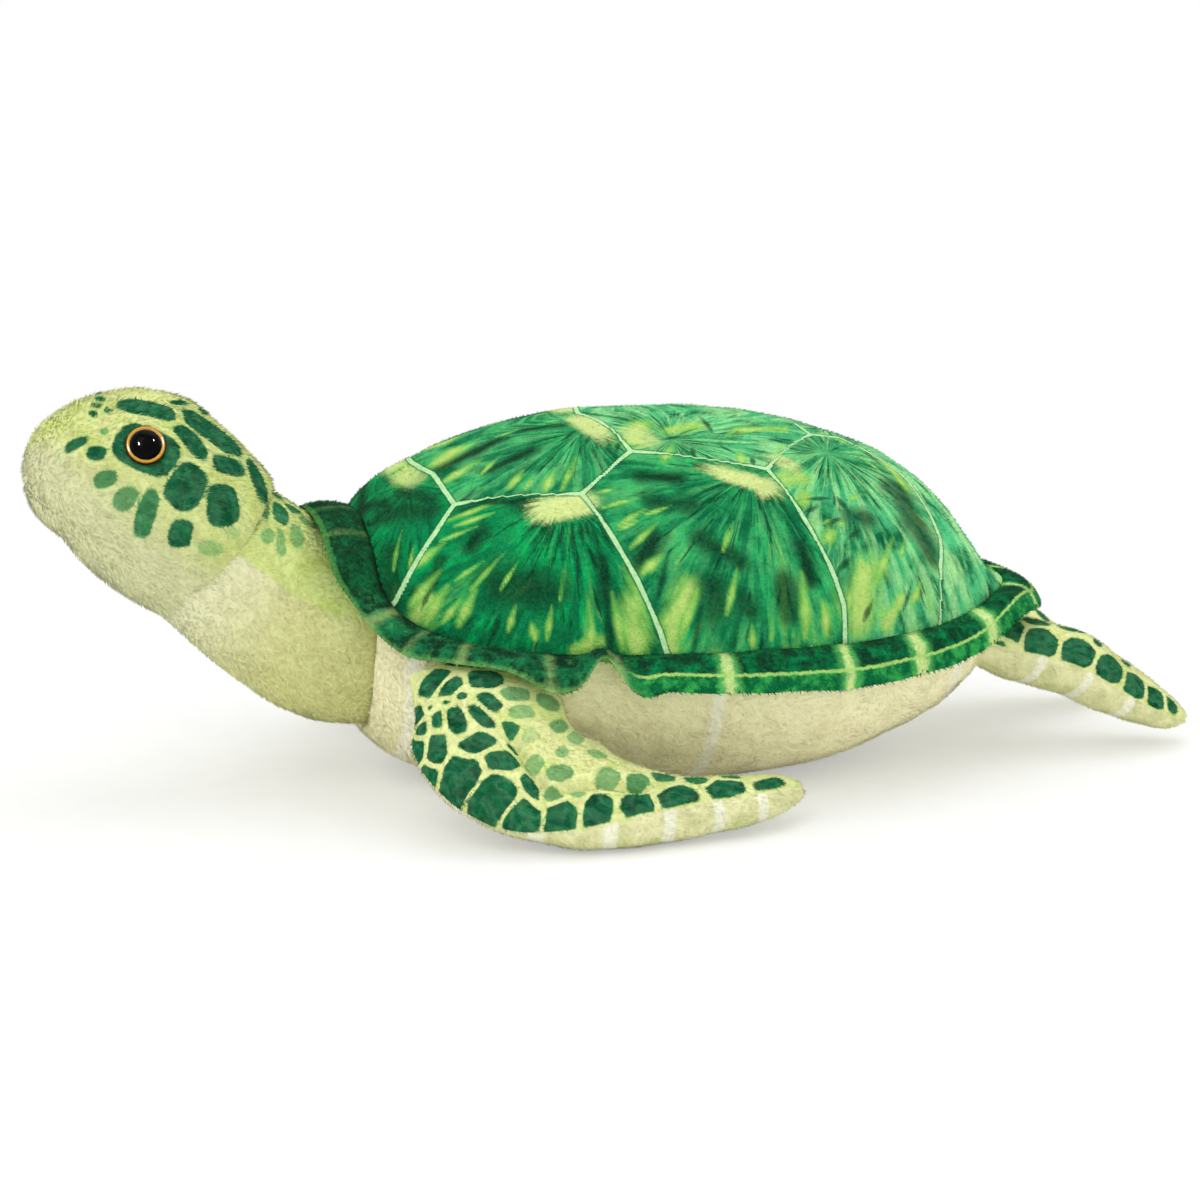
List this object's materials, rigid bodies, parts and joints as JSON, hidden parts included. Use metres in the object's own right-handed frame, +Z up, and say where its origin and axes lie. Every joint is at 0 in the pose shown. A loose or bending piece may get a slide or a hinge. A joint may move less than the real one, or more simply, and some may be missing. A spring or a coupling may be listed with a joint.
{
  "type": "plush sea turtle",
  "caption": "Stuffed plush sea turtle lying on its belly with its head raised, a soft flap round the printed shell, swept-back flippers and domed eyes.",
  "frame": {"origin": "on the floor under the flat of the belly, in the middle plane", "axes": "+X towards the tail, +Y towards the toy's right side, +Z up through the shell"},
  "size_m": [0.5796, 0.3242, 0.1952],
  "materials": {
    "printed_green_plush": "short pile, matte",
    "yellow_green_plush": "short pile, matte",
    "spotted_plush": "short pile with printed spots, matte",
    "cream_plush": "short pile, matte",
    "polyester_filling": "loose fibre, matte",
    "clear_acrylic": "polished clear dome over a black pupil",
    "amber_iris": "moulded, semi-gloss",
    "white_washer": "moulded, satin"
  },
  "bodies": {
    "torso": {"carapace_cover": "printed_green_plush", "belly_cover": "cream_plush", "torso_filling": "polyester_filling", "edge_flap_top": "printed_green_plush", "edge_flap_lining": "yellow_green_plush"},
    "neck": {"neck_top_cover": "spotted_plush", "throat_cover": "cream_plush", "neck_filling": "polyester_filling"},
    "head": {"head_left_cover": "spotted_plush", "head_right_cover": "spotted_plush", "chin_cover": "cream_plush", "head_filling": "polyester_filling", "left_eye_dome": "clear_acrylic", "left_eye_iris": "amber_iris", "left_eye_washer": "white_washer", "right_eye_dome": "clear_acrylic", "right_eye_iris": "amber_iris", "right_eye_washer": "white_washer"},
    "front_left_flipper": {"front_left_flipper_top": "spotted_plush", "front_left_flipper_underside": "cream_plush", "front_left_flipper_filling": "polyester_filling"},
    "front_right_flipper": {"front_right_flipper_top": "spotted_plush", "front_right_flipper_underside": "cream_plush", "front_right_flipper_filling": "polyester_filling"},
    "rear_left_flipper": {"rear_left_flipper_top": "spotted_plush", "rear_left_flipper_underside": "cream_plush", "rear_left_flipper_filling": "polyester_filling"},
    "rear_right_flipper": {"rear_right_flipper_top": "spotted_plush", "rear_right_flipper_underside": "cream_plush", "rear_right_flipper_filling": "polyester_filling"}
  },
  "joints": [
    {"name": "neck_bend", "type": "hinge", "parent": "torso", "child": "neck", "pos_m": [-0.15, 0, 0.07894], "axis": [0, 1, 0], "range_deg": [-12, 4], "stiffness_Nm_per_rad": 8},
    {"name": "head_nod", "type": "hinge", "parent": "neck", "child": "head", "pos_m": [-0.1953, 0, 0.10355], "axis": [0, 1, 0], "range_deg": [-15, 12], "stiffness_Nm_per_rad": 5},
    {"name": "front_left_flap", "type": "hinge", "parent": "torso", "child": "front_left_flipper", "pos_m": [-0.10009, -0.10102, 0.05593], "axis": [1, 0, 0], "range_deg": [-25, 8], "stiffness_Nm_per_rad": 2},
    {"name": "front_right_flap", "type": "hinge", "parent": "torso", "child": "front_right_flipper", "pos_m": [-0.10009, 0.10102, 0.05593], "axis": [-1, 0, 0], "range_deg": [-25, 8], "stiffness_Nm_per_rad": 2},
    {"name": "rear_left_flap", "type": "hinge", "parent": "torso", "child": "rear_left_flipper", "pos_m": [0.18008, -0.03797, 0.05505], "axis": [0, 1, 0], "range_deg": [-10, 20], "stiffness_Nm_per_rad": 1},
    {"name": "rear_right_flap", "type": "hinge", "parent": "torso", "child": "rear_right_flipper", "pos_m": [0.18008, 0.03797, 0.05505], "axis": [0, 1, 0], "range_deg": [-10, 20], "stiffness_Nm_per_rad": 1}
  ]
}
